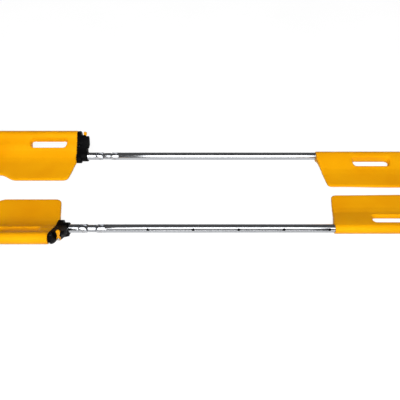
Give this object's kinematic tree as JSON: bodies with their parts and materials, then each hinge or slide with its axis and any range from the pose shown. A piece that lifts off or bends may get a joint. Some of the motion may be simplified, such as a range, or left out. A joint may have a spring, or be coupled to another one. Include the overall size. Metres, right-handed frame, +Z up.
{
  "type": "scoop stretcher",
  "caption": "Folding, length-adjustable scoop stretcher: two mirror-image halves of moulded panels on telescoping tubes, joined by end couplings.",
  "frame": {"origin": "on the floor, midway between the two ends and between the two halves, under the fold knuckles", "axes": "+X to the foot end, +Y to the half with the coupling tongues (left), +Z up"},
  "size_m": [2.3946, 0.4476, 0.0777],
  "materials": {
    "yellow_plastic": "smooth moulded plastic, satin",
    "black_plastic": "moulded glass-filled plastic",
    "aluminium": "drawn and polished",
    "steel": "zinc plated",
    "dark_steel": "blackened"
  },
  "bodies": {
    "left_head_frame": {"left_head_panel": "yellow_plastic", "left_guide_tube": "aluminium", "left_guide_plug": "black_plastic", "left_housing_rivet": "steel", "left_lock_housing": "black_plastic", "left_guide_bush": "black_plastic", "left_housing_screw_top": "dark_steel", "left_housing_screw_mid": "dark_steel", "left_lever_rivet": "steel", "left_head_coupling": "black_plastic"},
    "left_inner_tube": {"left_inner_tube": "aluminium", "left_inner_tube_plug": "black_plastic", "left_head_fork": "aluminium", "left_head_pivot_pin": "steel"},
    "left_fold_link": {"left_fold_link": "aluminium"},
    "left_foot_section": {"left_foot_pivot_pin": "steel", "left_foot_fork": "aluminium", "left_long_tube": "aluminium", "left_foot_panel": "yellow_plastic", "left_foot_rivet_1": "steel", "left_foot_rivet_2": "steel", "left_foot_coupling": "black_plastic"},
    "left_lock_lever": {"left_lock_lever": "yellow_plastic"},
    "left_lock_pin": {"left_lock_pin": "steel"},
    "right_head_frame": {"right_head_panel": "yellow_plastic", "right_guide_tube": "aluminium", "right_guide_plug": "black_plastic", "right_housing_rivet": "steel", "right_lock_housing": "black_plastic", "right_guide_bush": "black_plastic", "right_housing_screw_top": "dark_steel", "right_housing_screw_mid": "dark_steel", "right_lever_rivet": "steel", "right_head_coupling": "black_plastic"},
    "right_inner_tube": {"right_inner_tube": "aluminium", "right_inner_tube_plug": "black_plastic", "right_head_fork": "aluminium", "right_head_pivot_pin": "steel"},
    "right_fold_link": {"right_fold_link": "aluminium"},
    "right_foot_section": {"right_foot_pivot_pin": "steel", "right_foot_fork": "aluminium", "right_long_tube": "aluminium", "right_foot_panel": "yellow_plastic", "right_foot_rivet_1": "steel", "right_foot_rivet_2": "steel", "right_foot_coupling": "black_plastic"},
    "right_lock_lever": {"right_lock_lever": "yellow_plastic"},
    "right_lock_pin": {"right_lock_pin": "steel"},
    "head_latch": {"head_latch_bolt": "steel"},
    "foot_latch": {"foot_latch_bolt": "steel"}
  },
  "joints": [
    {"name": "halves_apart", "type": "slide", "parent": "left_head_frame", "child": "right_head_frame", "axis": [0, -1, 0], "range_m": [0, 0.15]},
    {"name": "left_tube_slide", "type": "slide", "parent": "left_head_frame", "child": "left_inner_tube", "axis": [1, 0, 0], "range_m": [-0.7535, 0]},
    {"name": "left_fold_head", "type": "hinge", "parent": "left_inner_tube", "child": "left_fold_link", "pos_m": [-0.0245, 0.148, 0.016], "axis": [0, -1, 0], "range_deg": [0, 90]},
    {"name": "left_fold_foot", "type": "hinge", "parent": "left_fold_link", "child": "left_foot_section", "pos_m": [0.0245, 0.148, 0.016], "axis": [0, -1, 0], "range_deg": [0, 90]},
    {"name": "left_lever_turn", "type": "hinge", "parent": "left_head_frame", "child": "left_lock_lever", "pos_m": [-0.079, 0.1988, 0.039], "axis": [0, 1, 0], "range_deg": [0, 45]},
    {"name": "left_pin_drop", "type": "slide", "parent": "left_head_frame", "child": "left_lock_pin", "axis": [0, -0.7986, -0.6018], "range_m": [0, 0.006]},
    {"name": "right_tube_slide", "type": "slide", "parent": "right_head_frame", "child": "right_inner_tube", "axis": [1, 0, 0], "range_m": [-0.7535, 0]},
    {"name": "right_fold_head", "type": "hinge", "parent": "right_inner_tube", "child": "right_fold_link", "pos_m": [-0.0245, -0.148, 0.016], "axis": [0, -1, 0], "range_deg": [0, 90]},
    {"name": "right_fold_foot", "type": "hinge", "parent": "right_fold_link", "child": "right_foot_section", "pos_m": [0.0245, -0.148, 0.016], "axis": [0, -1, 0], "range_deg": [0, 90]},
    {"name": "right_lever_turn", "type": "hinge", "parent": "right_head_frame", "child": "right_lock_lever", "pos_m": [-0.079, -0.1988, 0.039], "axis": [0, 1, 0], "range_deg": [0, 45]},
    {"name": "right_pin_drop", "type": "slide", "parent": "right_head_frame", "child": "right_lock_pin", "axis": [0, 0.7986, -0.6018], "range_m": [0, 0.006]},
    {"name": "head_latch_push", "type": "slide", "parent": "right_head_frame", "child": "head_latch", "axis": [1, 0, 0], "range_m": [0, 0.007]},
    {"name": "foot_latch_push", "type": "slide", "parent": "right_foot_section", "child": "foot_latch", "axis": [-1, 0, 0], "range_m": [0, 0.007]}
  ],
  "couplings": [
    {"joint": "right_tube_slide", "follows": "left_tube_slide", "ratio": 1},
    {"joint": "left_fold_foot", "follows": "left_fold_head", "ratio": 1},
    {"joint": "right_fold_head", "follows": "left_fold_head", "ratio": 1},
    {"joint": "right_fold_foot", "follows": "left_fold_head", "ratio": 1},
    {"joint": "left_pin_drop", "follows": "left_lever_turn", "m_per_rad": 0.007639},
    {"joint": "right_pin_drop", "follows": "right_lever_turn", "m_per_rad": 0.007639}
  ]
}
